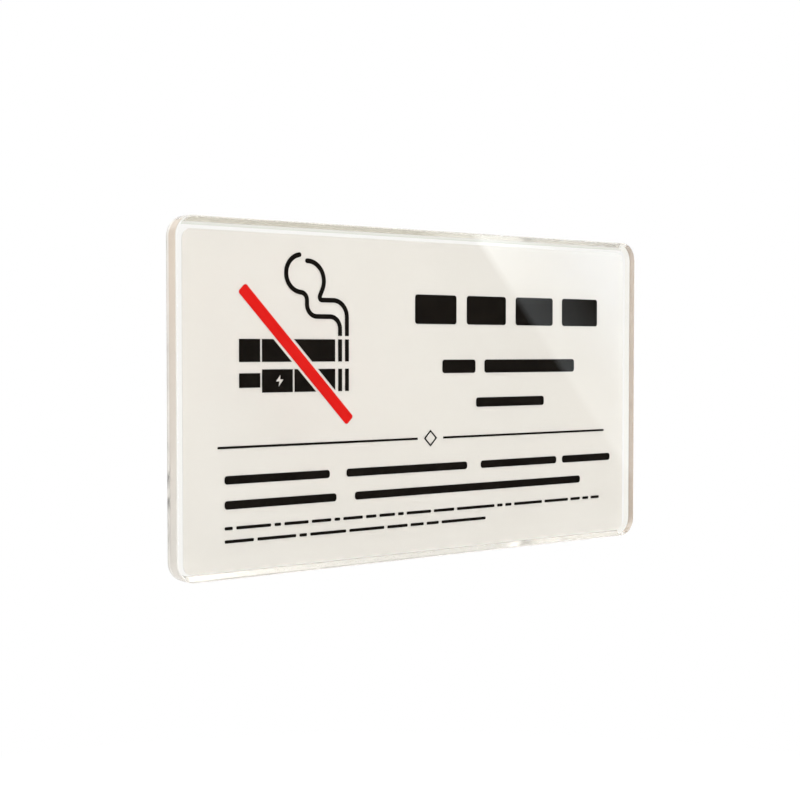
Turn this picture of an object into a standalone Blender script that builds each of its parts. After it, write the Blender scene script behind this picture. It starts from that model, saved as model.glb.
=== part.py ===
"""Clear acrylic no smoking wall sign, printed on its back and held by foam tape.

The front faces -Y and the wall lies at Y = 0, where the tape's adhesive face is. X runs along
the sign's width and Z is up, with the origin at the middle of the wall face. Sizes are in metres.
The artwork's own places are measured from its centre.
"""
from math import atan2, cos, pi, radians, sin, tan

import bmesh
import bpy
from mathutils import Matrix, Vector

# Plate
PLATE_WIDTH = 0.180
PLATE_HEIGHT = 0.100
PLATE_THICKNESS = 0.006
CORNER_RADIUS = 0.006
CORNER_SEGMENTS = 10
FRONT_CHAMFER = 0.0005
BACK_CHAMFER = 0.0010

# Layers behind the plate, from the wall forward
TAPE_THICKNESS = 0.0010
SEAT_GAP = 0.0003
FILM_THICKNESS = 0.0002
LAYER_GAP = 0.0001
INK_THICKNESS = 0.0001

# Foam tape strips: how far the outer strips stay from the plate's sides and all from its ends
TAPE_COUNT = 3
TAPE_WIDTH = 0.020
TAPE_SIDE_INSET = 0.018
TAPE_END_INSET = 0.010
TAPE_PITCH = (PLATE_WIDTH - 2 * TAPE_SIDE_INSET - TAPE_WIDTH) / (TAPE_COUNT - 1)
TAPE_LENGTH = PLATE_HEIGHT - 2 * TAPE_END_INSET

# Printed ground, and how far it and the artwork on it sit off the plate's centre
GROUND_SIDE_MARGIN = 0.0033
GROUND_END_MARGIN = 0.0025
GROUND_CORNER = 0.0030
GROUND_SHIFT = (0.0009, -0.0009)
ART_SHIFT = (0.0017, -0.0006)
GROUND_WIDTH = PLATE_WIDTH - 2 * GROUND_SIDE_MARGIN
GROUND_HEIGHT = PLATE_HEIGHT - 2 * GROUND_END_MARGIN
ART_EDGE = GROUND_WIDTH / 2

# Both figures of the pictogram, which line up at the mouth end and at the burning end
FIGURE_INSET = 0.0173
MOUTH_LENGTH = 0.0070
JOINT_GAP = 0.0006
BODY_LENGTH = 0.0255
BAND_COUNT = 2
BAND_GAP = 0.0011
BAND_WIDTH = 0.0014
FIGURE_GAP = 0.0021
FIGURE_LEFT = FIGURE_INSET - ART_EDGE
BODY_LEFT = FIGURE_LEFT + MOUTH_LENGTH + JOINT_GAP
BODY_RIGHT = BODY_LEFT + BODY_LENGTH
FIGURE_RIGHT = BODY_RIGHT + BAND_COUNT * (BAND_GAP + BAND_WIDTH)

# Electronic cigarette, the lower figure
ECIG_BOTTOM = 0.0020
ECIG_HEIGHT = 0.0066
ECIG_TOP = ECIG_BOTTOM + ECIG_HEIGHT
ECIG_TIP_HEIGHT = 0.0041
ECIG_TIP_LIFT = 0.0002
BATTERY_LENGTH = 0.0105
BOLT_WIDTH = 0.0026
BOLT_HEIGHT = 0.0035
BOLT_INSET = 0.0060
# The mark's corners, as shares of its half width and half height
BOLT_CORNERS = ((0.2, 1.0), (-1.0, -0.1), (-0.12, -0.1), (-0.32, -1.0), (1.0, 0.22), (0.14, 0.22))

# Cigarette, the upper figure
CIGARETTE_HEIGHT = 0.0065
CIGARETTE_BOTTOM = ECIG_TOP + FIGURE_GAP
CIGARETTE_TOP = CIGARETTE_BOTTOM + CIGARETTE_HEIGHT

# Red bar, placed from the middle of both figures, and the clear halo beside it
BAR_LENGTH = 0.0537
BAR_WIDTH = 0.0035
BAR_SLOPE = radians(-45.7)
BAR_CORNER = 0.0008
BAR_HALO = 0.0008
BAR_OFFSET = (0.00065, 0.0028)
BAR_X = (FIGURE_LEFT + FIGURE_RIGHT) / 2 + BAR_OFFSET[0]
BAR_Z = (ECIG_BOTTOM + CIGARETTE_TOP) / 2 + BAR_OFFSET[1]

# Smoke lines. The low one curls round the ring's left side and the high one round its right side.
# Their places are measured from the first band's middle and the cigarette's top.
STROKE = 0.0014
SMOKE_GAP = 0.0010
RING_LEFT = (-0.0136, 0.0189)
RING_LEFT_RADIUS = 0.0054
RING_LEFT_START = radians(99)
RING_LEFT_END = radians(262)
RING_RIGHT = (-0.0115, 0.0169)
RING_RIGHT_RADIUS = 0.0057
RING_RIGHT_START = radians(92)
RING_RIGHT_END = radians(-25)
LOW_DROP = -0.0118
LOW_SHELF = 0.0066
HIGH_SHELF = 0.0114
SHOULDER_BEND = 0.0022
LOW_BEND = 0.0035
NOTCH_BEND = 0.00085
HIGH_BEND = 0.0049
SMOKE_FOOT = (BODY_RIGHT + BAND_GAP + BAND_WIDTH / 2, CIGARETTE_TOP)

# Divider line with its hollow diamond
DIVIDER_Z = -0.0131
DIVIDER_WIDTH = 0.00067
DIVIDER_INSET = 0.0102
DIAMOND_REACH = 0.0026
DIAMOND_LINE = 0.00045
DIAMOND_CLEAR = 0.0025

# Title blocks, which fill the width between the pictogram and the title's right end
TITLE_COUNT = 4
TITLE_CLEAR = 0.0252
TITLE_INSET = 0.0136
TITLE_GAP = 0.0043
TITLE_Z = 0.0266
TITLE_HEIGHT = 0.0090
TITLE_LEFT = FIGURE_RIGHT + TITLE_CLEAR
TITLE_RIGHT = ART_EDGE - TITLE_INSET
TITLE_MIDDLE = (TITLE_LEFT + TITLE_RIGHT) / 2

# Rows of bars centred under the title: name, height of the middle, bar height, bar lengths
CENTRED_ROWS = (
    ("subtitle_bar", 0.0090, 0.0042, (0.0136, 0.0400)),
    ("note_bar", -0.0024, 0.0030, (0.0296,)),
)
CENTRED_GAP = 0.0038

# Text lines: height of the middle, right inset, and each bar's gap and length from the left.
# A bar with no length takes what its line has left.
TEXT_HEIGHT = 0.0024
TEXT_INSET = 0.0124
TEXT_LINES = (
    (-0.0222, 0.0072, ((0.0, 0.0360), (0.0061, None), (0.0057, 0.0334), (0.0027, 0.0227))),
    (-0.0292, 0.0215, ((0.0, 0.0384), (0.0068, None))),
)
WORD_CORNER = 0.0009

# Fineness of curved outlines, and how near two points must be to count as one height
ARC_STEP = radians(7)
SAME_PLACE = 1e-6

# Where each layer's middle lies
TAPE_Y = -TAPE_THICKNESS / 2
FILM_Y = -(TAPE_THICKNESS + SEAT_GAP + FILM_THICKNESS / 2)
INK_Y = FILM_Y - FILM_THICKNESS / 2 - LAYER_GAP - INK_THICKNESS / 2
PLATE_Y = INK_Y - INK_THICKNESS / 2 - LAYER_GAP - PLATE_THICKNESS / 2

# Colours
CLEAR = (0.97, 0.97, 0.95)
WARM_WHITE = (0.80, 0.76, 0.70)
FOAM_WHITE = (0.85, 0.85, 0.83)
INK_BLACK = (0.012, 0.009, 0.007)
INK_RED = (0.78, 0.020, 0.018)


def clear_scene():
    """Remove every object that the scene starts with."""
    for obj in list(bpy.data.objects):
        bpy.data.objects.remove(obj, do_unlink=True)


def new_collection(name):
    """Make a collection for the sign's parts."""
    collection = bpy.data.collections.new(name)
    bpy.context.scene.collection.children.link(collection)
    return collection


def new_material(name, colour, roughness, transmission=0.0):
    """Make a plain material for one sub-part."""
    material = bpy.data.materials.new(name)
    material.use_nodes = True
    shader = material.node_tree.nodes["Principled BSDF"]
    shader.inputs["Base Color"].default_value = (*colour, 1.0)
    shader.inputs["Roughness"].default_value = roughness
    shader.inputs["Metallic"].default_value = 0.0
    shader.inputs["Transmission Weight"].default_value = transmission
    return material


def link(obj, collection, material):
    """Give an object its material and put it in the sign's collection."""
    obj.data.materials.append(material)
    for other in list(obj.users_collection):
        other.objects.unlink(obj)
    collection.objects.link(obj)


def box(name, size, location):
    """Make a box from the cube primitive, with its size in its mesh."""
    bpy.ops.mesh.primitive_cube_add(size=1.0, location=location)
    obj = bpy.context.active_object
    obj.name = name
    obj.data.name = name
    obj.data.transform(Matrix.Diagonal((*size, 1.0)))
    return obj


def bevel(mesh, edges, offset, segments):
    """Round or chamfer some of a mesh's edges."""
    bmesh.ops.bevel(mesh, geom=edges, offset=offset, segments=segments, profile=0.5,
                    affect="EDGES", clamp_overlap=True)


def rim(mesh, y):
    """List the edges round a slab's face that lies at the given y."""
    return [e for e in mesh.edges if all(abs(v.co.y - y) < SAME_PLACE for v in e.verts)]


def round_slab(name, size, location):
    """Make a slab with round corners seen from the front and a chamfer round each face."""
    obj = box(name, size, location)
    mesh = bmesh.new()
    mesh.from_mesh(obj.data)
    corners = [e for e in mesh.edges if abs(e.verts[0].co.y - e.verts[1].co.y) > SAME_PLACE]
    bevel(mesh, corners, CORNER_RADIUS, CORNER_SEGMENTS)
    bevel(mesh, rim(mesh, -size[1] / 2), FRONT_CHAMFER, 1)
    bevel(mesh, rim(mesh, size[1] / 2), BACK_CHAMFER, 1)
    mesh.to_mesh(obj.data)
    mesh.free()
    return obj


def flat_shape(name, outlines, y, thickness, at, turn=0.0):
    """Make a thin upright solid from closed outlines of (x, z) points, holes among them."""
    curve = bpy.data.curves.new(name, "CURVE")
    curve.dimensions = "2D"
    curve.fill_mode = "BOTH"
    curve.extrude = thickness / 2
    for outline in outlines:
        spline = curve.splines.new("POLY")
        spline.points.add(len(outline) - 1)
        for point, (x, z) in zip(spline.points, outline):
            point.co = (x, z, 0.0, 1.0)
        spline.use_cyclic_u = True
    obj = bpy.data.objects.new(name, curve)
    obj.location = (at[0], y, at[1])
    obj.rotation_euler = (pi / 2, -turn, 0.0)
    bpy.context.scene.collection.objects.link(obj)
    return obj


def arc(centre, radius, start, end):
    """List the points of an arc from one angle to another, either way round."""
    count = max(2, round(abs(end - start) / ARC_STEP))
    angles = [start + (end - start) * i / count for i in range(count + 1)]
    return [(centre[0] + radius * cos(a), centre[1] + radius * sin(a)) for a in angles]


def rectangle(left, right, bottom, top):
    """Outline a rectangle with square corners."""
    return [(left, bottom), (right, bottom), (right, top), (left, top)]


def round_rectangle(width, height, corner):
    """Outline a rectangle with round corners about the origin."""
    x, z = width / 2 - corner, height / 2 - corner
    outline = []
    for turn, (sx, sz) in enumerate(((1, 1), (-1, 1), (-1, -1), (1, -1))):
        outline += arc((sx * x, sz * z), corner, turn * pi / 2, (turn + 1) * pi / 2)
    return outline


def bend(before, corner, after, radius):
    """Round a path's corner with an arc of the given radius."""
    here = Vector(corner)
    back = (Vector(before) - here).normalized()
    ahead = (Vector(after) - here).normalized()
    half = back.angle(ahead) / 2
    centre = here + (back + ahead).normalized() * radius / sin(half)
    reach = radius / tan(half)
    first = here + back * reach - centre
    last = here + ahead * reach - centre
    start = atan2(first.y, first.x)
    swing = (atan2(last.y, last.x) - start + pi) % (2 * pi) - pi
    return arc(centre, radius, start, start + swing)


def ribbon(path, width):
    """Outline a line of the given width along a path, round at its start and square at its end."""
    points = [Vector(p) for p in path]
    left, right = [], []
    for i, point in enumerate(points):
        ahead = (points[min(i + 1, len(points) - 1)] - points[max(i - 1, 0)]).normalized()
        side = Vector((-ahead.y, ahead.x)) * width / 2
        left.append(tuple(point + side))
        right.append(tuple(point - side))
    first = points[1] - points[0]
    heading = atan2(first.y, first.x)
    cap = arc(points[0], width / 2, heading - pi / 2, heading - 3 * pi / 2)
    return right[::-1] + cap[1:-1] + left


def beside_bar(outline, side):
    """Cut an outline back to one side of the clear halo round the red bar."""
    def beyond(point):
        middle = BAR_X + (point[1] - BAR_Z) / tan(BAR_SLOPE)
        return side * (point[0] - middle) - (BAR_WIDTH / 2 + BAR_HALO) / abs(sin(BAR_SLOPE))

    kept = []
    for before, here in zip(outline[-1:] + outline[:-1], outline):
        first, last = beyond(before), beyond(here)
        if (first < 0) != (last < 0):
            share = first / (first - last)
            kept.append(tuple(Vector(before).lerp(Vector(here), share)))
        if last >= 0:
            kept.append(here)
    return kept


def acrylic_plate(collection):
    """Clear plate with round corners and polished chamfers."""
    size = (PLATE_WIDTH, PLATE_THICKNESS, PLATE_HEIGHT)
    obj = round_slab("acrylic_plate", size, (0.0, PLATE_Y, 0.0))
    link(obj, collection, new_material("clear_acrylic", CLEAR, 0.03, transmission=1.0))


def print_film(collection):
    """Warm white ground of the print, on the plate's back."""
    outline = round_rectangle(GROUND_WIDTH, GROUND_HEIGHT, GROUND_CORNER)
    obj = flat_shape("print_film", [outline], FILM_Y, FILM_THICKNESS, GROUND_SHIFT)
    link(obj, collection, new_material("printed_ground", WARM_WHITE, 0.5))


def tape_strips(collection):
    """Upright strips of double-sided foam tape, spread evenly about the middle."""
    for i in range(TAPE_COUNT):
        x = (i - (TAPE_COUNT - 1) / 2) * TAPE_PITCH
        name = f"foam_tape_{i + 1}"
        obj = box(name, (TAPE_WIDTH, TAPE_THICKNESS, TAPE_LENGTH), (x, TAPE_Y, 0.0))
        link(obj, collection, new_material(f"{name}_foam", FOAM_WHITE, 0.8))


def ink_shape(collection, name, outlines, colour=INK_BLACK, at=(0.0, 0.0), turn=0.0):
    """Print one shape in the ink layer, placed from the artwork's own centre."""
    place = (at[0] + ART_SHIFT[0], at[1] + ART_SHIFT[1])
    obj = flat_shape(name, outlines, INK_Y, INK_THICKNESS, place, turn)
    link(obj, collection, new_material(f"{name}_ink", colour, 0.35))


def ink_bar(collection, name, left, right, z, height):
    """Print a bar with round corners, centred on height z."""
    outline = round_rectangle(right - left, height, WORD_CORNER)
    ink_shape(collection, name, [outline], at=((left + right) / 2, z))


def red_bar(collection):
    """Red prohibition bar that falls from the upper left."""
    outline = round_rectangle(BAR_LENGTH, BAR_WIDTH, BAR_CORNER)
    ink_shape(collection, "red_bar", [outline], INK_RED, (BAR_X, BAR_Z), BAR_SLOPE)


def cut_body(collection, name, left, bottom, top):
    """Print a figure's body in two pieces, clear of the red bar's halo on both sides."""
    outline = rectangle(left, BODY_RIGHT, bottom, top)
    ink_shape(collection, f"{name}_body_left", [beside_bar(outline, -1)])
    ink_shape(collection, f"{name}_body_right", [beside_bar(outline, 1)])


def end_bands(collection, name, bottom, top):
    """Print the narrow bands at a figure's burning end."""
    for i in range(BAND_COUNT):
        left = BODY_RIGHT + BAND_GAP + i * (BAND_WIDTH + BAND_GAP)
        outline = rectangle(left, left + BAND_WIDTH, bottom, top)
        ink_shape(collection, f"{name}_band_{i + 1}", [beside_bar(outline, 1)])


def cigarette(collection):
    """Filter, body and ember bands of the upper figure."""
    mouth = rectangle(FIGURE_LEFT, FIGURE_LEFT + MOUTH_LENGTH, CIGARETTE_BOTTOM, CIGARETTE_TOP)
    ink_shape(collection, "cigarette_filter", [mouth])
    cut_body(collection, "cigarette", BODY_LEFT, CIGARETTE_BOTTOM, CIGARETTE_TOP)
    end_bands(collection, "cigarette", CIGARETTE_BOTTOM, CIGARETTE_TOP)


def electronic_cigarette(collection):
    """Tip, battery block with its lightning mark, body and bands of the lower figure."""
    middle = (ECIG_BOTTOM + ECIG_TOP) / 2
    tip_bottom = middle + ECIG_TIP_LIFT - ECIG_TIP_HEIGHT / 2
    tip = rectangle(FIGURE_LEFT, FIGURE_LEFT + MOUTH_LENGTH, tip_bottom, tip_bottom + ECIG_TIP_HEIGHT)
    ink_shape(collection, "ecig_tip", [tip])
    battery_right = BODY_LEFT + BATTERY_LENGTH
    battery = rectangle(BODY_LEFT, battery_right, ECIG_BOTTOM, ECIG_TOP)
    bolt = [(BODY_LEFT + BOLT_INSET + x * BOLT_WIDTH / 2, middle + z * BOLT_HEIGHT / 2)
            for x, z in BOLT_CORNERS]
    ink_shape(collection, "ecig_battery", [battery, bolt])
    cut_body(collection, "ecig", battery_right + JOINT_GAP, ECIG_BOTTOM, ECIG_TOP)
    end_bands(collection, "ecig", ECIG_BOTTOM, ECIG_TOP)


def smoke_line(collection, name, ring, corners, radii):
    """Print a smoke line that follows its part of the ring, then turns at each corner."""
    path = list(ring)
    stops = [ring[-1], *corners]
    for before, corner, after, radius in zip(stops, stops[1:], stops[2:], radii):
        path += bend(before, corner, after, radius)
    path.append(stops[-1])
    ink_shape(collection, name, [ribbon(path, STROKE)], at=SMOKE_FOOT)


def smoke_lines(collection):
    """Two smoke lines that rise above the ember bands and curl towards each other in a ring."""
    ring = arc(RING_LEFT, RING_LEFT_RADIUS, RING_LEFT_START, RING_LEFT_END)
    shoulder = ring[-1][1] + (LOW_DROP - ring[-1][0]) * tan(RING_LEFT_END + pi / 2)
    corners = [(LOW_DROP, shoulder), (LOW_DROP, LOW_SHELF), (0.0, LOW_SHELF), (0.0, SMOKE_GAP)]
    smoke_line(collection, "smoke_line_low", ring, corners, (SHOULDER_BEND, LOW_BEND, LOW_BEND))

    ring = arc(RING_RIGHT, RING_RIGHT_RADIUS, RING_RIGHT_START, RING_RIGHT_END)
    notch = ring[-1][0] + (HIGH_SHELF - ring[-1][1]) / tan(RING_RIGHT_END - pi / 2)
    foot = BAND_WIDTH + BAND_GAP
    corners = [(notch, HIGH_SHELF), (foot, HIGH_SHELF), (foot, SMOKE_GAP)]
    smoke_line(collection, "smoke_line_high", ring, corners, (NOTCH_BEND, HIGH_BEND))


def divider(collection):
    """Thin line across the print, broken in the middle for a hollow diamond."""
    inner = DIAMOND_REACH + DIAMOND_CLEAR
    outer = ART_EDGE - DIVIDER_INSET
    bottom, top = DIVIDER_Z - DIVIDER_WIDTH / 2, DIVIDER_Z + DIVIDER_WIDTH / 2
    ink_shape(collection, "divider_left", [rectangle(-outer, -inner, bottom, top)])
    ink_shape(collection, "divider_right", [rectangle(inner, outer, bottom, top)])
    hollow = DIAMOND_REACH - DIAMOND_LINE / cos(pi / 4)
    rings = [[(0.0, r), (-r, 0.0), (0.0, -r), (r, 0.0)] for r in (DIAMOND_REACH, hollow)]
    ink_shape(collection, "divider_diamond", rings, at=(0.0, DIVIDER_Z))


def title_blocks(collection):
    """One plain block in the place of each large character of the title."""
    pitch = (TITLE_RIGHT - TITLE_LEFT + TITLE_GAP) / TITLE_COUNT
    for i in range(TITLE_COUNT):
        left = TITLE_LEFT + i * pitch
        right = left + pitch - TITLE_GAP
        ink_bar(collection, f"title_block_{i + 1}", left, right, TITLE_Z, TITLE_HEIGHT)


def centred_rows(collection):
    """Plain bars in the places of the words centred under the title."""
    for name, z, height, lengths in CENTRED_ROWS:
        left = TITLE_MIDDLE - (sum(lengths) + CENTRED_GAP * (len(lengths) - 1)) / 2
        for i, length in enumerate(lengths):
            ink_bar(collection, f"{name}_{i + 1}", left, left + length, z, height)
            left += length + CENTRED_GAP


def text_lines(collection):
    """Plain bars in the places of the clauses in the lines under the divider."""
    for row, (z, right_inset, bars) in enumerate(TEXT_LINES, 1):
        left = TEXT_INSET - ART_EDGE
        spare = ART_EDGE - right_inset - left - sum(gap + (length or 0.0) for gap, length in bars)
        for i, (gap, length) in enumerate(bars, 1):
            right = left + gap + (length or spare)
            ink_bar(collection, f"text_{row}_bar_{i}", left + gap, right, z, TEXT_HEIGHT)
            left = right


def build():
    """Build the whole sign."""
    clear_scene()
    parts = new_collection("no_smoking_sign")
    acrylic_plate(parts)
    print_film(parts)
    tape_strips(parts)
    red_bar(parts)
    cigarette(parts)
    electronic_cigarette(parts)
    smoke_lines(parts)
    divider(parts)
    title_blocks(parts)
    centred_rows(parts)
    text_lines(parts)


build()
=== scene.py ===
"""Looks of a clear acrylic no smoking wall sign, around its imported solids.

The plate is polished cast acrylic with the print bonded to its back, and foam tape holds it to
the wall at Y = 0. The front faces -Y, X runs along the width and Z is up. Sizes are in metres.
"""

import logging
from collections.abc import Callable, Iterable, Sequence
from dataclasses import dataclass, field
from enum import Enum
from math import cos, pi, radians, sin

import bmesh
import bpy
from mathutils import Matrix, Vector


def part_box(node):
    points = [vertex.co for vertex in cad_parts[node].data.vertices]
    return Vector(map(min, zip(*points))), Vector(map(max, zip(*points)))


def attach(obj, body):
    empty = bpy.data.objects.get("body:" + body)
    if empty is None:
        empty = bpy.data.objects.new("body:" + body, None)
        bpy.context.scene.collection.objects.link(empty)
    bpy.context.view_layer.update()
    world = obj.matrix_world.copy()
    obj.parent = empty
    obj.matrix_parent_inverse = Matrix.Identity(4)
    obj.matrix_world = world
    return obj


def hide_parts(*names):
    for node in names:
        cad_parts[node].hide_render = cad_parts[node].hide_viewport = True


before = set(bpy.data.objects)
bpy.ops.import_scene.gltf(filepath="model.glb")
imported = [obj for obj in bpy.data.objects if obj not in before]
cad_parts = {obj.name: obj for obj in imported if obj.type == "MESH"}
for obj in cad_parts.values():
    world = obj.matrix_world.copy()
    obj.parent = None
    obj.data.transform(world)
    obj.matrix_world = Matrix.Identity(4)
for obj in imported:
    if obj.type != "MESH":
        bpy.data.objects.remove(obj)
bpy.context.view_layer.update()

LOG = logging.getLogger("no_smoking_sign")
BODY = "root"
SAME_PLACE = 1e-6
MM_PER_METRE = 1000
FLAT_AREA = 1e-4

Colour = tuple[float, float, float]
Place = tuple[float, float, float]
Pair = tuple[float, float]
Socket = bpy.types.NodeSocket

WHITE: Colour = (1.0, 1.0, 1.0)
WHOLE: Pair = (0.0, 1.0)
HALF_BOUNCE = 0.5


class Slot(Enum):
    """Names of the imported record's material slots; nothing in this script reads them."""

    ACRYLIC = "clear_acrylic"
    BLACK = "black_ink"
    TAPE = "foam_tape"


@dataclass(frozen=True)
class Noise:
    """A noise pattern, and the part of its range that is put to use."""

    scale: float
    detail: float = 3.0
    roughness: float = 0.5
    reach: Pair = (0.3, 0.7)
    stretch: Place = (1.0, 1.0, 1.0)


class NodeGraph:
    """A material's or world's node tree with short calls for the nodes used here."""

    def __init__(self, owner: bpy.types.ID) -> None:
        """Start an empty tree.

        Args:
            owner: The material or world whose tree is built.
        """
        owner.use_nodes = True
        self.tree = owner.node_tree
        self.tree.nodes.clear()

    def add(self, kind: str, **settings: object) -> bpy.types.Node:
        """Add a node and set its own properties.

        Args:
            kind: The node's type name.
            settings: Values for the node's properties.

        Returns:
            The new node.
        """
        node = self.tree.nodes.new(kind)
        for name, value in settings.items():
            setattr(node, name, value)
        return node

    def feed(self, node: bpy.types.Node, name: str | int, value: object) -> None:
        """Give a socket a number, a colour or another node's output.

        Args:
            node: The node that has the input.
            name: The input's name or index.
            value: The value, or the socket to link from.
        """
        socket = node.inputs[name]
        if isinstance(value, Socket):
            self.tree.links.new(value, socket)
        elif isinstance(value, tuple) and len(value) == 3 and socket.type == "RGBA":
            socket.default_value = (*value, 1.0)
        else:
            socket.default_value = value

    def place(self, centre: Place = (0.0, 0.0, 0.0), scale: Place = (1.0, 1.0, 1.0)) -> Socket:
        """Give the object coordinates, moved and scaled for a pattern.

        Args:
            centre: How far the pattern is moved.
            scale: How far it is stretched along each axis.

        Returns:
            The coordinates' socket.
        """
        source = self.add("ShaderNodeTexCoord").outputs["Object"]
        mapping = self.add("ShaderNodeMapping")
        self.feed(mapping, "Vector", source)
        self.feed(mapping, "Location", centre)
        self.feed(mapping, "Scale", scale)
        return mapping.outputs["Vector"]

    def split(self, vector: Socket) -> tuple[Socket, ...]:
        """Take a vector apart.

        Args:
            vector: The vector's socket.

        Returns:
            The sockets of its X, Y and Z.
        """
        node = self.add("ShaderNodeSeparateXYZ")
        self.feed(node, "Vector", vector)
        return tuple(node.outputs)

    def noise(self, pattern: Noise) -> Socket:
        """Add a noise pattern.

        Args:
            pattern: The pattern's settings.

        Returns:
            The pattern's value from 0 to 1.
        """
        node = self.add("ShaderNodeTexNoise")
        self.feed(node, "Vector", self.place(scale=pattern.stretch))
        self.feed(node, "Scale", pattern.scale)
        self.feed(node, "Detail", pattern.detail)
        self.feed(node, "Roughness", pattern.roughness)
        return node.outputs["Fac"]

    def remap(self, value: Socket, source: Pair, target: Pair = WHOLE) -> Socket:
        """Stretch a value from one range to another, held at its ends.

        Args:
            value: The value's socket.
            source: The range it is read over.
            target: The range it is written to.

        Returns:
            The remapped value's socket.
        """
        node = self.add("ShaderNodeMapRange", clamp=True)
        self.feed(node, "Value", value)
        for name, number in zip(("From Min", "From Max", "To Min", "To Max"), (*source, *target)):
            self.feed(node, name, number)
        return node.outputs["Result"]

    def math(self, operation: str, first: object, second: object = 0.0) -> Socket:
        """Add one arithmetic step.

        Args:
            operation: The Math node's operation.
            first: The first number or socket.
            second: The second number or socket.

        Returns:
            The result's socket.
        """
        node = self.add("ShaderNodeMath", operation=operation)
        self.feed(node, 0, first)
        self.feed(node, 1, second)
        return node.outputs[0]

    def times(self, first: object, second: object) -> Socket:
        """Multiply two numbers or masks."""
        return self.math("MULTIPLY", first, second)

    def above(self, value: Socket, limit: float) -> Socket:
        """Give 1 where a value lies above a limit and 0 elsewhere."""
        return self.math("GREATER_THAN", value, limit)

    def below(self, value: Socket, limit: float) -> Socket:
        """Give 1 where a value lies below a limit and 0 elsewhere."""
        return self.math("LESS_THAN", value, limit)

    def mix_colour(self, share: object, first: object, second: object) -> Socket:
        """Mix two colours.

        Args:
            share: How much of the second colour there is.
            first: The first colour or socket.
            second: The second colour or socket.

        Returns:
            The mixed colour's socket.
        """
        node = self.add("ShaderNodeMix", data_type="RGBA")
        self.feed(node, "Factor", share)
        self.feed(node, 6, first)
        self.feed(node, 7, second)
        return node.outputs[2]

    def bump(self, height: Socket, strength: float, distance: float) -> Socket:
        """Turn a height pattern into a bumped normal.

        Args:
            height: The height's socket.
            strength: The bump's strength.
            distance: The depth of the relief in metres.

        Returns:
            The normal's socket.
        """
        node = self.add("ShaderNodeBump")
        self.feed(node, "Strength", strength)
        self.feed(node, "Distance", distance)
        self.feed(node, "Height", height)
        return node.outputs["Normal"]

    def shader(self, **values: object) -> Socket:
        """Add a Principled shader; names use underscores where its inputs have spaces.

        Args:
            values: Values or sockets for its inputs.

        Returns:
            The shader's socket.
        """
        node = self.add("ShaderNodeBsdfPrincipled")
        for name, value in values.items():
            self.feed(node, name.replace("_", " "), value)
        return node.outputs[0]

    def emission(self, strength: object, colour: Colour = WHITE) -> Socket:
        """Add a glow.

        Args:
            strength: The glow's strength or its socket.
            colour: The glow's colour.

        Returns:
            The shader's socket.
        """
        node = self.add("ShaderNodeEmission")
        self.feed(node, "Color", colour)
        self.feed(node, "Strength", strength)
        return node.outputs[0]

    def mix_shader(self, share: object, first: Socket, second: Socket) -> Socket:
        """Mix two shaders.

        Args:
            share: How much of the second shader there is.
            first: The first shader's socket.
            second: The second shader's socket.

        Returns:
            The mixed shader's socket.
        """
        node = self.add("ShaderNodeMixShader")
        self.feed(node, 0, share)
        self.feed(node, 1, first)
        self.feed(node, 2, second)
        return node.outputs[0]

    def finish(self, surface: Socket, volume: Socket | None = None,
               kind: str = "ShaderNodeOutputMaterial") -> None:
        """Link the finished shaders to the output.

        Args:
            surface: The surface shader's socket.
            volume: The volume shader's socket, where there is one.
            kind: The output node's type name.
        """
        output = self.add(kind)
        self.feed(output, "Surface", surface)
        if volume is not None:
            self.feed(output, "Volume", volume)


def new_material(name: str) -> tuple[bpy.types.Material, NodeGraph]:
    """Start a material of this name, and give it with its empty tree."""
    material = bpy.data.materials.new(name)
    return material, NodeGraph(material)


def seen_rays(graph: NodeGraph) -> Socket:
    """Give 1 for camera, glossy and transmission rays and 0 for the rest.

    Rays that light the print through the plate have a diffuse bounce behind them and count as 0.

    Args:
        graph: The tree to build in.

    Returns:
        The share's socket.
    """
    path = graph.add("ShaderNodeLightPath")
    seen = graph.math("MAXIMUM", path.outputs["Is Camera Ray"], path.outputs["Is Glossy Ray"])
    seen = graph.math("MAXIMUM", seen, path.outputs["Is Transmission Ray"])
    return graph.times(seen, graph.below(path.outputs["Diffuse Depth"], HALF_BOUNCE))


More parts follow.
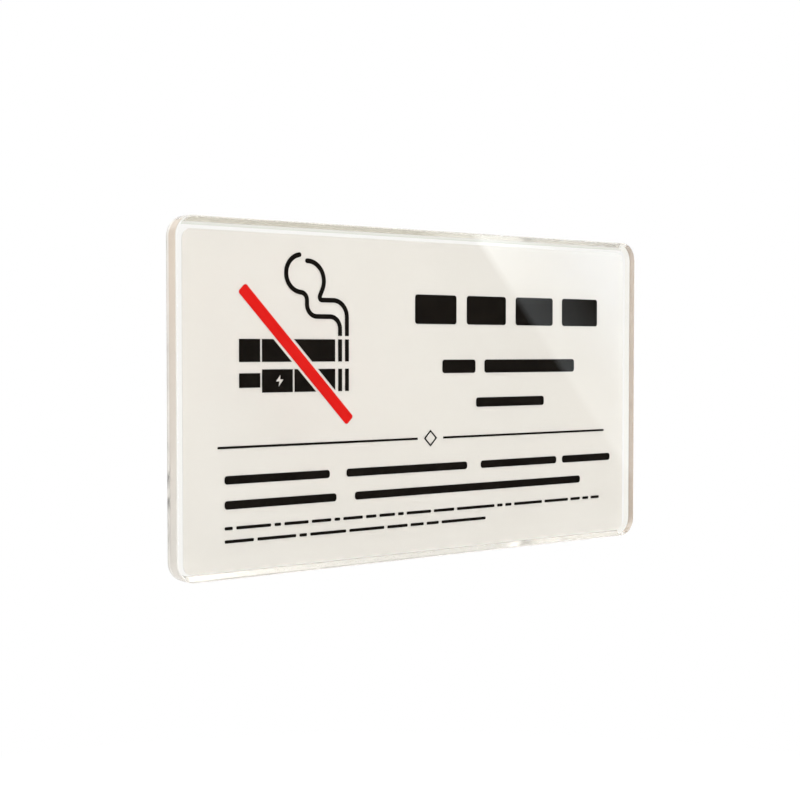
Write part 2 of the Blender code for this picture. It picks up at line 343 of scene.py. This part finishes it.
@dataclass(frozen=True)
class PolishedAcrylic:
    """Clear cast sheet with polished faces and milled walls, tinted over long paths.

    The walls, the top of the rear face and thin lines along the near wall carry painted shade and
    a painted highlight, standing for the surroundings and shade that a clear rim shows. A wall is
    what faces less than side_limit to the front or back, and a face more than flat_limit.
    """

    name: str = "polished_acrylic"
    # A warm tint of the sheet, which also lays painted shade over the clear margins.
    surface: Colour = (0.965, 0.952, 0.905)
    # Painted shade and painted reflection of the surroundings on the walls, browner towards the
    # top.
    side_shade_low: Colour = (0.66, 0.625, 0.58)
    side_shade_high: Colour = (0.63, 0.50, 0.38)
    side_shade_reach: Pair = (-0.040, 0.040)
    # Painted shade on the lower wall, lighter towards its right end.
    lower_edge_shade: Colour = (0.32, 0.30, 0.24)
    lower_right_shade: Colour = (0.60, 0.585, 0.52)
    lower_shade_reach: Pair = (0.043, 0.058)
    # Painted shade on the upper wall.
    upper_edge_shade: Colour = (0.71, 0.69, 0.63)
    # Painted shade on the far wall.
    far_edge_shade: Colour = (0.80, 0.77, 0.70)
    # A painted highlight along the back of the near wall.
    back_highlight: Colour = (0.97, 0.95, 0.90)
    highlight_reach: Pair = (-0.0043, -0.0039)
    # A painted shade line along the near wall.
    outline_shade: Colour = (0.50, 0.47, 0.44)
    outline_shade_reach: Pair = (-0.0034, -0.0031)
    # Painted shade on the top margin of the rear face.
    margin_shade: Colour = (0.72, 0.72, 0.66)
    margin_shade_start: float = 0.0476
    back_start: float = -0.004
    # Brown diffuse share of the far wall, seen from inside: partly frost of the milled edge,
    # partly painted shade.
    frost_and_shade: Colour = (0.60, 0.45, 0.34)
    frost_roughness: float = 0.6
    far_frost_and_shade: float = 0.6
    index: float = 1.49
    tint: Colour = (0.93, 0.92, 0.89)
    tint_density: float = 10.0
    wipe: Noise = Noise(90.0, 5.0, 0.6, (0.45, 0.8), (1.0, 1.0, 0.35))
    face_roughness: Pair = (0.0, 0.03)
    cut: Noise = Noise(900.0, reach=(0.35, 0.65), stretch=(1.0, 0.08, 1.0))
    edge_roughness: Pair = (0.31, 0.36)
    rim_polish: float = 0.5
    arris_roughness: float = 0.10
    side_limit: float = 0.3
    flat_limit: float = 0.97
    corners: Pair = (0.0872, 0.0488)

    def build(self) -> bpy.types.Material:
        """Make the material, which lets the lamps through to the print.

        Returns:
            The material.
        """
        material, graph = new_material(self.name)
        normal = graph.add("ShaderNodeNewGeometry").outputs["True Normal"]
        facing = graph.math("ABSOLUTE", graph.split(normal)[1])
        across, depth, height = graph.split(graph.place())
        side = graph.below(facing, self.side_limit)
        low = graph.times(graph.below(height, -self.corners[1]), side)
        high = graph.times(graph.above(height, self.corners[1]), side)
        far = graph.times(graph.above(across, self.corners[0]), side)
        near = graph.times(graph.below(across, -self.corners[0]), side)
        rear = graph.times(graph.above(facing, self.flat_limit),
                           graph.above(depth, self.back_start))
        # Painted shade on the walls, browner towards the top.
        painted_side = graph.mix_colour(graph.remap(height, self.side_shade_reach),
                                 self.side_shade_low, self.side_shade_high)
        colour = graph.mix_colour(side, self.surface, painted_side)
        for mask, tone in (
                # painted shade on the far wall
                (far, self.far_edge_shade),
                # painted shade on the lower wall, lighter at its right end
                (low, self.lower_edge_shade),
                (graph.times(low, graph.remap(across, self.lower_shade_reach)), self.lower_right_shade),
                # painted shade on the upper wall
                (high, self.upper_edge_shade),
                # painted highlight near the back of the near wall
                (graph.times(near, graph.remap(depth, self.highlight_reach)), self.back_highlight),
                # painted shade line along the near wall
                (graph.times(near, graph.remap(depth, self.outline_shade_reach)), self.outline_shade),
                (rear, WHITE),
                # painted shade on the rear face's top margin
                (graph.times(rear, graph.above(height, self.margin_shade_start)), self.margin_shade)):
            colour = graph.mix_colour(mask, colour, tone)
        rough = self.roughness(graph, facing, side, graph.math("MAXIMUM", low, high))
        clear = graph.shader(Base_Color=colour, IOR=self.index, Transmission_Weight=1.0,
                             Roughness=rough)
        # On the far wall, seen from inside, a brown diffuse share: partly frost of the milled
        # edge, partly painted shade.
        frosted_shade = graph.shader(Base_Color=self.frost_and_shade, Specular_IOR_Level=0.0,
                               Roughness=self.frost_roughness)
        path = graph.add("ShaderNodeLightPath")
        inner = graph.times(far, path.outputs["Is Transmission Ray"])
        clear = graph.mix_shader(graph.times(inner, self.far_frost_and_shade), clear, frosted_shade)
        through = graph.add("ShaderNodeBsdfTransparent").outputs[0]
        surface = graph.mix_shader(path.outputs["Is Shadow Ray"], clear, through)
        tint = graph.add("ShaderNodeVolumeAbsorption")
        graph.feed(tint, "Color", self.tint)
        graph.feed(tint, "Density", self.tint_density)
        graph.finish(surface, tint.outputs[0])
        return material

    def roughness(self, graph: NodeGraph, facing: Socket, side: Socket, rims: Socket) -> Socket:
        """Give wiped faces, milled walls and smoother arrises their roughness.

        Args:
            graph: The tree to build in.
            facing: How far the surface faces the front or back.
            side: The mask of the walls.
            rims: The mask of the upper and lower walls, which are smoother.

        Returns:
            The roughness.
        """
        polish = graph.remap(graph.noise(self.wipe), self.wipe.reach, self.face_roughness)
        milled = graph.remap(graph.noise(self.cut), self.cut.reach, self.edge_roughness)
        buffed = graph.math("SUBTRACT", 1.0, graph.times(rims, self.rim_polish))
        milled = graph.times(graph.times(side, milled), buffed)
        arris = graph.times(graph.above(facing, self.side_limit),
                            graph.below(facing, self.flat_limit))
        arris = graph.times(arris, self.arris_roughness)
        return graph.math("MAXIMUM", polish, graph.math("MAXIMUM", milled, arris))


@dataclass(frozen=True)
class PrintedGround:
    """Warm white printed ground seen through the plate, with a plain white back."""

    name: str = "printed_ground"
    warm: Colour = (0.785, 0.770, 0.748)
    warmer: Colour = (0.770, 0.752, 0.726)
    mottle: Noise = Noise(22.0, 4.0, 0.55, (0.35, 0.7))
    back: Colour = (0.80, 0.80, 0.79)
    back_plane: float = -0.00132
    grain: Noise = Noise(2600.0, 2.0)
    roughness: Pair = (0.42, 0.55)
    relief: Pair = (0.15, 0.00001)

    def build(self) -> bpy.types.Material:
        """Make the material, warm in front of back_plane and white behind it.

        Returns:
            The material.
        """
        material, graph = new_material(self.name)
        mottle = graph.remap(graph.noise(self.mottle), self.mottle.reach)
        front = graph.mix_colour(mottle, self.warm, self.warmer)
        behind = graph.above(graph.split(graph.place())[1], self.back_plane)
        grain = graph.noise(self.grain)
        graph.finish(graph.shader(
            Base_Color=graph.mix_colour(behind, front, self.back), Specular_IOR_Level=0.0,
            Roughness=graph.remap(grain, self.grain.reach, self.roughness),
            Normal=graph.bump(grain, *self.relief)))
        return material


@dataclass(frozen=True)
class PrintInk:
    """Screen-printed ink of nearly even tone, with a fine grain."""

    name: str
    colour: Colour
    lighter: Colour
    flow: Noise = Noise(120.0, reach=(0.35, 0.75))
    grain: Noise = Noise(3200.0, 2.0)
    roughness: Pair = (0.3, 0.45)
    relief: Pair = (0.1, 0.00001)

    def build(self) -> bpy.types.Material:
        """Make the material.

        Returns:
            The material.
        """
        material, graph = new_material(self.name)
        flow = graph.remap(graph.noise(self.flow), self.flow.reach)
        grain = graph.noise(self.grain)
        graph.finish(graph.shader(
            Base_Color=graph.mix_colour(flow, self.colour, self.lighter), Specular_IOR_Level=0.0,
            Roughness=graph.remap(grain, self.grain.reach, self.roughness),
            Normal=graph.bump(grain, *self.relief)))
        return material


@dataclass(frozen=True)
class ClosedCellFoam:
    """White closed-cell foam tape with a tacky, finely pressed adhesive face."""

    name: str = "closed_cell_foam"
    light: Colour = (0.83, 0.83, 0.81)
    shade: Colour = (0.70, 0.70, 0.68)
    cell_scale: float = 2400.0
    cell_reach: Pair = (0.1, 0.8)
    cell_shade: Pair = (0.0, 0.6)
    pressed: Noise = Noise(160.0, 4.0, reach=(0.35, 0.65), stretch=(1.0, 1.0, 0.25))
    roughness: Pair = (0.45, 0.75)
    relief: Pair = (0.5, 0.00008)

    def build(self) -> bpy.types.Material:
        """Make the material.

        Returns:
            The material.
        """
        material, graph = new_material(self.name)
        cells = graph.add("ShaderNodeTexVoronoi", feature="F1")
        graph.feed(cells, "Vector", graph.place())
        graph.feed(cells, "Scale", self.cell_scale)
        cell = cells.outputs["Distance"]
        shade = graph.remap(cell, self.cell_reach, self.cell_shade)
        pressed = graph.noise(self.pressed)
        graph.finish(graph.shader(
            Base_Color=graph.mix_colour(shade, self.light, self.shade),
            Roughness=graph.remap(pressed, self.pressed.reach, self.roughness),
            Normal=graph.bump(cell, *self.relief)))
        return material


@dataclass(frozen=True)
class PaleFloor:
    """Pale studio floor that looks white and keeps the sign's shadow near its middle."""

    name: str = "pale_floor"
    colour: Colour = (0.80, 0.80, 0.80)
    darker: Colour = (0.7, 0.7, 0.7)
    grain: Noise = Noise(60.0)
    grain_share: Pair = (0.0, 0.02)
    glow: float = 0.62
    shadow_reach: Pair = (0.35, 0.75)

    def build(self) -> bpy.types.Material:
        """Make the material: lit paint with a glow for seen rays, all glow far out.

        Returns:
            The material.
        """
        material, graph = new_material(self.name)
        grain = graph.remap(graph.noise(self.grain), self.grain.reach, self.grain_share)
        node = graph.add("ShaderNodeBsdfDiffuse")
        graph.feed(node, "Color", graph.mix_colour(grain, self.colour, self.darker))
        paint = node.outputs[0]
        glowing = graph.add("ShaderNodeAddShader")
        graph.feed(glowing, 0, paint)
        graph.feed(glowing, 1, graph.emission(self.glow))
        length = graph.add("ShaderNodeVectorMath", operation="LENGTH")
        graph.feed(length, 0, graph.place())
        far = graph.remap(length.outputs["Value"], self.shadow_reach)
        seen = graph.mix_shader(far, glowing.outputs[0], graph.emission(1.0))
        graph.finish(graph.mix_shader(seen_rays(graph), paint, seen))
        return material


@dataclass(frozen=True)
class DarkFlag:
    """Matt black cloth of a studio flag."""

    name: str = "dark_flag"
    colour: Colour = (0.02, 0.02, 0.02)
    lighter: Colour = (0.03, 0.03, 0.03)
    weave: Noise = Noise(400.0, 2.0)
    roughness: float = 0.9

    def build(self) -> bpy.types.Material:
        """Make the material.

        Returns:
            The material.
        """
        material, graph = new_material(self.name)
        tone = graph.mix_colour(graph.noise(self.weave), self.colour, self.lighter)
        graph.finish(graph.shader(Base_Color=tone, Roughness=self.roughness))
        return material


@dataclass(frozen=True)
class GlowingCard:
    """White card with a painted glow, brightest at one edge and at its top, as if lit from that
    edge.
    """

    name: str = "glowing_card"
    edge_start: Pair = (0.8925, 0.147)
    across: Pair = (0.742, 0.670)
    colour: Colour = (0.90, 0.97, 1.0)
    even: float = 0.12
    peak: float = 4.0
    fade: float = 0.10
    soft_edge: float = 0.012
    heights: Pair = (0.07, 0.14)
    height_share: Pair = (0.25, 1.0)

    def build(self) -> bpy.types.Material:
        """Make the material, whose glow falls off with the distance from the edge.

        Returns:
            The material.
        """
        material, graph = new_material(self.name)
        along = graph.add("ShaderNodeVectorMath", operation="DOT_PRODUCT")
        graph.feed(along, 0, graph.place((-self.edge_start[0], 0.0, -self.edge_start[1])))
        graph.feed(along, 1, (self.across[0], 0.0, self.across[1]))
        distance = along.outputs["Value"]
        high = graph.remap(graph.split(graph.place())[2], self.heights, self.height_share)
        peak = graph.times(graph.remap(distance, (0.0, self.fade), (self.peak, 0.0)), high)
        glow = graph.times(graph.math("ADD", peak, self.even),
                           graph.remap(distance, (0.0, self.soft_edge)))
        graph.finish(graph.emission(glow, self.colour))
        return material


@dataclass(frozen=True)
class GlowingSheet:
    """White sheet with an even painted glow, a little cloudy, as if lit from behind."""

    name: str = "glowing_sheet"
    colour: Colour = (1.0, 0.985, 0.95)
    strength: Pair = (1.65, 1.75)
    cloud: Noise = Noise(3.0)

    def build(self) -> bpy.types.Material:
        """Make the material.

        Returns:
            The material.
        """
        material, graph = new_material(self.name)
        strength = graph.remap(graph.noise(self.cloud), self.cloud.reach, self.strength)
        graph.finish(graph.emission(strength, self.colour))
        return material


def add_object(name: str, data: bpy.types.ID) -> bpy.types.Object:
    """Make an object at the origin and put it in the scene.

    Args:
        name: The object's name.
        data: Its mesh, lamp or camera.

    Returns:
        The new object.
    """
    piece = bpy.data.objects.new(name, data)
    bpy.context.scene.collection.objects.link(piece)
    return piece


def mesh_object(name: str, mesh: bmesh.types.BMesh,
                material: bpy.types.Material) -> bpy.types.Object:
    """Turn a bmesh into an object at the origin.

    Args:
        name: The object's name.
        mesh: The finished bmesh, which is freed.
        material: The object's material.

    Returns:
        The new object.
    """
    bmesh.ops.recalc_face_normals(mesh, faces=mesh.faces)
    data = bpy.data.meshes.new(name)
    mesh.to_mesh(data)
    mesh.free()
    data.materials.append(material)
    return add_object(name, data)


def add_block(mesh: bmesh.types.BMesh, centre: Vector, size: Vector) -> None:
    """Add a block to a mesh, by its centre and its length along each axis."""
    matrix = Matrix.Translation(centre) @ Matrix.Diagonal((*size, 1.0))
    bmesh.ops.create_cube(mesh, size=1.0, matrix=matrix)


def box_mesh(low: Sequence[float], high: Sequence[float]) -> bmesh.types.BMesh:
    """Make a box between two corners.

    Args:
        low: The lowest corner.
        high: The highest corner.

    Returns:
        The box.
    """
    low_corner, high_corner = Vector(low), Vector(high)
    mesh = bmesh.new()
    add_block(mesh, (low_corner + high_corner) / 2, high_corner - low_corner)
    return mesh


def sheet_mesh(side: float, place: Matrix, cells: int = 2) -> bmesh.types.BMesh:
    """Make a flat square sheet.

    Args:
        side: The length of its sides.
        place: Where it lies and how it is turned.
        cells: How many faces it has along each side.

    Returns:
        The sheet.
    """
    mesh = bmesh.new()
    bmesh.ops.create_grid(mesh, x_segments=cells, y_segments=cells, size=side / 2, matrix=place)
    return mesh


def bevel(mesh: bmesh.types.BMesh, edges: Iterable[bmesh.types.BMEdge], offset: float,
          segments: int) -> None:
    """Round or chamfer edges, cut back by an offset, with a number of faces round each."""
    bmesh.ops.bevel(mesh, geom=list(edges), offset=offset, offset_type="OFFSET", segments=segments,
                    profile=0.5, affect="EDGES", clamp_overlap=True, material=-1)


def edges_where(mesh: bmesh.types.BMesh,
                test: Callable[[Vector, Vector], bool]) -> list[bmesh.types.BMEdge]:
    """List the edges of a mesh whose two ends pass a test."""
    return [edge for edge in mesh.edges if test(edge.verts[0].co, edge.verts[1].co)]


def runs_back(start: Vector, end: Vector) -> bool:
    """Say whether an edge between two ends runs from front to back."""
    return abs(start.y - end.y) > SAME_PLACE


def smooth(piece: bpy.types.Object, angle: float) -> None:
    """Shade a piece smooth up to an angle, and keep its large faces truly flat.

    Args:
        piece: The piece to shade.
        angle: The sharpest edge that still looks smooth.
    """
    piece.data.shade_smooth()
    piece.data.set_sharp_from_angle(angle=angle)
    for face in piece.data.polygons:
        if face.area > FLAT_AREA:
            face.use_smooth = False


@dataclass
class Plate:
    """The clear plate: round corners, polished chamfers, print sunk into its back."""

    node: str = "acrylic_plate"
    corner_radius: float = 0.006
    corner_segments: int = 24
    front_chamfer: float = 0.0005
    front_segments: int = 3
    back_chamfer: float = 0.0015
    back_segments: int = 1
    bond_depth: float = 0.00045
    smooth_angle: float = radians(30)
    finish: PolishedAcrylic = field(default_factory=PolishedAcrylic)

    def build(self) -> None:
        """Build the plate in place of its solid, with its back run over the print's layers."""
        low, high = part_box(self.node)
        back = high.y + self.bond_depth
        mesh = box_mesh(low, (high.x, back, high.z))
        bevel(mesh, edges_where(mesh, runs_back), self.corner_radius, self.corner_segments)
        for y, chamfer, segments in ((low.y, self.front_chamfer, self.front_segments),
                                     (back, self.back_chamfer, self.back_segments)):
            rim = edges_where(mesh, lambda a, b, y=y: max(abs(a.y - y), abs(b.y - y)) < SAME_PLACE)
            bevel(mesh, rim, chamfer, segments)
        piece = mesh_object("polished_plate", mesh, self.finish.build())
        smooth(piece, self.smooth_angle)
        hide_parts(self.node)
        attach(piece, BODY)
        LOG.info("plate: %d faces", len(piece.data.polygons))


@dataclass
class FinePrint:
    """Two rows of short thin bars along the bottom of the print.

    Their lengths in rows are in millimetres, and art_shift is how far the whole print lies
    from the plate's middle.
    """

    art_shift: Pair = (0.0017, -0.0006)
    left: float = -0.0743
    heights: Pair = (-0.0357, -0.0394)
    bar_height: float = 0.0009
    gap: float = 0.0012
    corner: float = 0.0003
    corner_segments: int = 3
    rows: tuple[tuple[float, ...], ...] = (
        (2.6, 11.6, 2.2, 8.4, 6.9, 2.0, 7.2, 3.9, 5.9, 2.2,
         9.6, 8.2, 15.8, 2.3, 2.7, 12.4, 10.8, 4.4, 2.8, 3.9),
        (9.6, 13.2, 2.6, 12.9, 13.1, 7.8, 5.2, 4.8, 18.3))

    def build(self, ink: bpy.types.Material) -> None:
        """Build a piece for each row, in the ink layer of the print.

        Args:
            ink: The black ink.
        """
        low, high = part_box("divider_left")
        for index, lengths in enumerate(self.rows):
            self.row(index, lengths, (low.y, high.y), ink)
        LOG.info("fine print: %d rows", len(self.rows))

    def row(self, index: int, lengths: Sequence[float], depth: Pair,
            ink: bpy.types.Material) -> None:
        """Build one row of bars.

        Args:
            index: The row's number, from the top.
            lengths: The bars' lengths in millimetres.
            depth: The ink layer's front and back.
            ink: The black ink.
        """
        mesh = bmesh.new()
        x = self.left + self.art_shift[0]
        z = self.heights[index] + self.art_shift[1]
        for length in lengths:
            right = x + length / MM_PER_METRE
            add_block(mesh, Vector(((x + right) / 2, (depth[0] + depth[1]) / 2, z)),
                      Vector((right - x, depth[1] - depth[0], self.bar_height)))
            x = right + self.gap
        bevel(mesh, edges_where(mesh, runs_back), self.corner, self.corner_segments)
        piece = mesh_object(f"fine_print_row_{index + 1}", mesh, ink)
        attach(piece, BODY)


@dataclass
class Print:
    """The printed ground, the inks on it and the fine print."""

    ground: PrintedGround = field(default_factory=PrintedGround)
    black: PrintInk = PrintInk("black_ink", (0.0075, 0.0060, 0.0050), (0.0105, 0.0085, 0.0070))
    red: PrintInk = PrintInk("red_ink", (0.695, 0.0125, 0.0105), (0.725, 0.017, 0.014))
    fine_print: FinePrint = field(default_factory=FinePrint)
    other_nodes: tuple[str, ...] = ("acrylic_plate", "foam_tape")

    def build(self) -> None:
        """Dress the print's solids and build the fine print."""
        ground, black, red = self.ground.build(), self.black.build(), self.red.build()
        nodes = {name: node for name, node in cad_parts.items()
                 if not name.startswith(self.other_nodes)}
        for name, node in nodes.items():
            for slot in node.material_slots:
                slot.material = {"print_film": ground, "red_bar": red}.get(name, black)
        LOG.info("print: %d solids", len(nodes))
        self.fine_print.build(black)


@dataclass
class TapeStrips:
    """The double-sided foam tape strips on the back, with soft rolled edges."""

    nodes: tuple[str, ...] = ("foam_tape_1", "foam_tape_2", "foam_tape_3")
    edge_radius: float = 0.00018
    edge_segments: int = 3
    smooth_angle: float = radians(50)
    finish: ClosedCellFoam = field(default_factory=ClosedCellFoam)

    def build(self) -> None:
        """Build each strip in place of its solid."""
        material = self.finish.build()
        for name in self.nodes:
            low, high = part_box(name)
            mesh = box_mesh(low, high)
            bevel(mesh, mesh.edges, self.edge_radius, self.edge_segments)
            piece = mesh_object(f"{name}_strip", mesh, material)
            smooth(piece, self.smooth_angle)
            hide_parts(name)
            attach(piece, BODY)
        LOG.info("tape: %d strips", len(self.nodes))


def turned(place: Sequence[float], ahead: Vector) -> Matrix:
    """Give the matrix of a lamp that shines ahead from a place."""
    return Matrix.Translation(place) @ ahead.to_track_quat("-Z", "Y").to_matrix().to_4x4()


@dataclass
class Softbox:
    """A soft oblong lamp that faces a point of the sign."""

    name: str
    place: Place
    size: Pair
    power: float
    aim: Place = (0.0, 0.0, 0.0)
    mirrored: bool = True

    def build(self) -> None:
        """Build the lamp, which shows in reflections only where it is mirrored."""
        lamp = bpy.data.lights.new(self.name, "AREA")
        lamp.shape = "RECTANGLE"
        lamp.size, lamp.size_y = self.size
        lamp.energy = self.power
        piece = add_object(self.name, lamp)
        piece.visible_glossy = self.mirrored
        piece.matrix_world = turned(self.place, Vector(self.aim) - Vector(self.place))


@dataclass
class WindowBeam:
    """A hard-edged beam, as from a window, that lights the print on one side of a line."""

    name: str = "window_beam"
    place: Place = (0.35, -0.75, 0.45)
    line: tuple[Place, Place] = ((0.0216, -0.0015, 0.0473), (0.0763, -0.0015, -0.0123))
    lit_corner: Place = (0.085, -0.0015, 0.045)
    power: float = 5.6
    colour: Colour = (0.72, 0.92, 1.22)
    blend: float = 0.002
    radius: float = 0.01

    def build(self) -> None:
        """Build the beam as a half-space spot whose flat limit runs through the line."""
        start, end, place = (Vector(point) for point in (*self.line, self.place))
        axis = (end - start).cross(start - place).normalized()
        if axis.dot(Vector(self.lit_corner) - place) < 0.0:
            axis = -axis
        lamp = bpy.data.lights.new(self.name, "SPOT")
        lamp.energy = self.power
        lamp.color = self.colour
        lamp.spot_size = pi
        lamp.spot_blend = self.blend
        lamp.shadow_soft_size = self.radius
        add_object(self.name, lamp).matrix_world = turned(place, axis)


@dataclass
class Viewpoint:
    """The photograph's camera, placed about the middle of the plate's back."""

    name: str = "photo_camera"
    azimuth: float = radians(-38.61)
    elevation: float = radians(1.89)
    distance: float = 0.4585
    aim_right: float = -0.00655
    aim_up: float = -0.00195
    pivot: Place = (0.0, -0.0018, 0.0)
    lens: float = 66.735
    sensor: float = 36.0
    clip_start: float = 0.01

    def build(self) -> None:
        """Build the camera and make it the scene's own."""
        a, e = self.azimuth, self.elevation
        back = Vector((sin(a) * cos(e), -cos(a) * cos(e), sin(e)))
        right = Vector((cos(a), sin(a), 0.0))
        up = Vector((-sin(a) * sin(e), cos(a) * sin(e), cos(e)))
        place = Vector(self.pivot) + right * self.aim_right + up * self.aim_up
        place += back * self.distance
        data = bpy.data.cameras.new(self.name)
        data.lens = self.lens
        data.sensor_width = self.sensor
        data.clip_start = self.clip_start
        camera = add_object(self.name, data)
        turn = Matrix((right, up, back)).transposed().to_4x4()
        camera.matrix_world = Matrix.Translation(place) @ turn
        bpy.context.scene.camera = camera


@dataclass
class Studio:
    """Floor, flag, glowing card and canopy, lamps, world and camera round the sign."""

    floor_height: float = -0.30
    floor_size: float = 40.0
    floor_cells: int = 4
    ambient: Colour = (0.56, 0.555, 0.545)
    flag_low: Place = (0.25, -1.45, -0.9)
    flag_high: Place = (2.6, -1.44, 1.2)
    card_centre: Place = (1.3569, -1.0, 0.3037)
    card_size: float = 0.9
    card_turn: float = radians(47.9)
    canopy_centre: Place = (-0.75, -0.08, 0.90)
    canopy_size: float = 1.1
    lamps: tuple[Softbox, ...] = (
        Softbox("overhead_softbox", (0.42, -0.34, 0.85), (0.9, 0.7), 2.8),
        Softbox("left_softbox", (-1.04, -0.60, 0.10), (0.30, 0.95), 2.0, mirrored=False),
        Softbox("front_softbox", (0.25, -1.45, -0.07), (0.9, 0.4), 8.4),
        Softbox("rear_softbox", (-0.35, 1.10, 0.60), (0.7, 0.7), 3.0),
    )
    beam: WindowBeam = field(default_factory=WindowBeam)
    viewpoint: Viewpoint = field(default_factory=Viewpoint)

    def build(self) -> None:
        """Build everything that isn't the sign."""
        self.floor()
        self.flag()
        self.card()
        self.canopy()
        for lamp in (*self.lamps, self.beam):
            lamp.build()
        self.world()
        self.viewpoint.build()
        bpy.context.scene.view_settings.view_transform = "Standard"
        LOG.info("studio: %d soft lamps and a beam", len(self.lamps))

    def floor(self) -> None:
        """Lay the pale floor under the sign."""
        mesh = sheet_mesh(self.floor_size, Matrix.Identity(4), self.floor_cells)
        mesh_object("studio_floor", mesh, PaleFloor().build())
        bpy.data.objects["studio_floor"].location.z = self.floor_height

    def flag(self) -> None:
        """Hang the dark flag that the front of the plate mirrors."""
        mesh = box_mesh(self.flag_low, self.flag_high)
        self.hang(mesh_object("studio_flag", mesh, DarkFlag().build()))

    def card(self) -> None:
        """Hang the card, in front of the flag, whose edge makes the diagonal reflection."""
        place = Matrix.Translation(self.card_centre) @ Matrix.Rotation(self.card_turn, 4, "Y")
        mesh = sheet_mesh(self.card_size, place @ Matrix.Rotation(pi / 2, 4, "X"))
        self.hang(mesh_object("studio_card", mesh, GlowingCard().build()))

    def canopy(self) -> None:
        """Hang the sheet, high on the left, that shines out of the lower right rim."""
        mesh = sheet_mesh(self.canopy_size, Matrix.Translation(self.canopy_centre))
        self.hang(mesh_object("studio_canopy", mesh, GlowingSheet().build()), mirrored=False)

    @staticmethod
    def hang(piece: bpy.types.Object, mirrored: bool = True) -> None:
        """Hang a stage piece that puts no light on the print and no shadow anywhere.

        Args:
            piece: The stage piece.
            mirrored: Whether it shows in reflections. If not, it shows through clear pieces.
        """
        piece.visible_camera = False
        piece.visible_diffuse = False
        piece.visible_glossy = mirrored
        piece.visible_transmission = not mirrored
        piece.visible_shadow = False

    def world(self) -> None:
        """Give white to seen rays and a soft ambient light to the rest."""
        world = bpy.data.worlds.new("studio_world")
        bpy.context.scene.world = world
        graph = NodeGraph(world)
        soft = graph.add("ShaderNodeBackground")
        graph.feed(soft, "Color", self.ambient)
        white = graph.add("ShaderNodeBackground")
        graph.feed(white, "Color", WHITE)
        graph.finish(graph.mix_shader(seen_rays(graph), soft.outputs[0], white.outputs[0]),
                     kind="ShaderNodeOutputWorld")


def main() -> None:
    """Build the sign's looks and the studio round it."""
    logging.basicConfig(level=logging.INFO, format="%(name)s: %(message)s")
    Studio().build()
    Plate().build()
    Print().build()
    TapeStrips().build()


if __name__ == "__main__":
    main()
